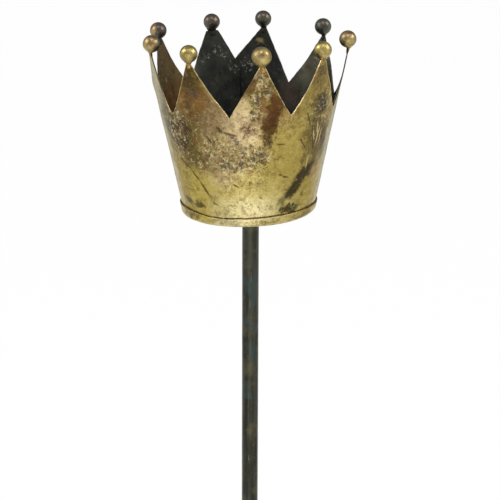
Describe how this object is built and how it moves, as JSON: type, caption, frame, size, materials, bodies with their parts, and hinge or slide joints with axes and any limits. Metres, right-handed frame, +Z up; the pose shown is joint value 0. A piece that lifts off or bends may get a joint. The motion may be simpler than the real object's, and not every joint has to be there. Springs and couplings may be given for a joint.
{
  "type": "crown-topped garden stake",
  "caption": "Antique gold sheet-metal crown cup with a ball on each point, on a dark round steel rod that pushes into soil or floral foam.",
  "frame": {"origin": "on the rod's axis at the ground line, where the stake enters the soil", "axes": "+Z up along the rod to the crown, -Y to the front, where the larger ball is just right of the middle, +X to the right seen from the front"},
  "size_m": [0.0981, 0.1013, 0.4],
  "materials": {
    "crown_gold": "antique gold, mottled and worn outside, blackened inside",
    "ball_gold": "polished antique gold with dark bronze patina on the inner side",
    "dark_braze": "dull brown solder and braze",
    "dark_rod": "satin charcoal with rust freckles",
    "zinc_steel": "dull zinc plate"
  },
  "bodies": {
    "root": {"crown_band": "crown_gold", "seam_solder": "dark_braze", "base_pan": "crown_gold", "base_solder": "dark_braze", "ball_1": "ball_gold", "ball_2": "ball_gold", "ball_3": "ball_gold", "ball_4": "ball_gold", "ball_5": "ball_gold", "ball_6": "ball_gold", "ball_7": "ball_gold", "ball_8": "ball_gold", "ball_9": "ball_gold", "ball_braze_1": "dark_braze", "ball_braze_2": "dark_braze", "ball_braze_3": "dark_braze", "ball_braze_4": "dark_braze", "ball_braze_5": "dark_braze", "ball_braze_6": "dark_braze", "ball_braze_7": "dark_braze", "ball_braze_8": "dark_braze", "ball_braze_9": "dark_braze", "stake_rod": "dark_rod", "mounting_screw": "zinc_steel", "screw_washer": "zinc_steel"}
  },
  "joints": []
}
